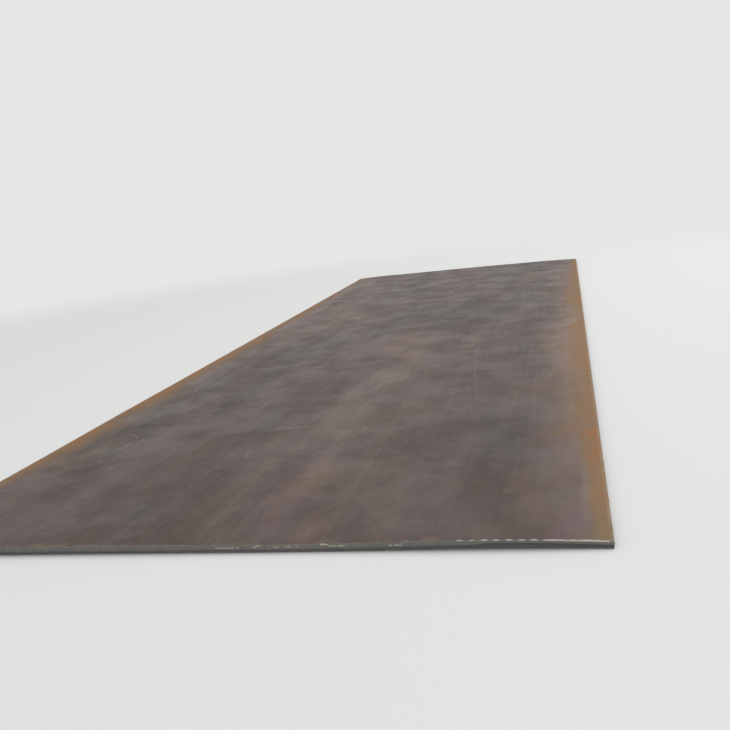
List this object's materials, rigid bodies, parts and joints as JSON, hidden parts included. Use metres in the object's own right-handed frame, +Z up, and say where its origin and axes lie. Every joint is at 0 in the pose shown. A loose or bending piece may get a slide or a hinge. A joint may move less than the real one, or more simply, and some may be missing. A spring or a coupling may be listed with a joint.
{
  "type": "steel plate",
  "caption": "Hot-rolled heavy steel plate with guillotine-sheared edges and slightly drooping long margins, lying flat as raw stock.",
  "frame": {"origin": "centre of the footprint on the level it lies on: the two long lower edges touch Z = 0", "axes": "+X across the plate's width, +Y along its length, +Z up out of the top face"},
  "size_m": [2, 6, 0.0269],
  "materials": {
    "mill_scale_steel": "mill scale, matt to satin, with rust along the margins"
  },
  "bodies": {
    "root": {"plate": "mill_scale_steel"}
  },
  "joints": []
}
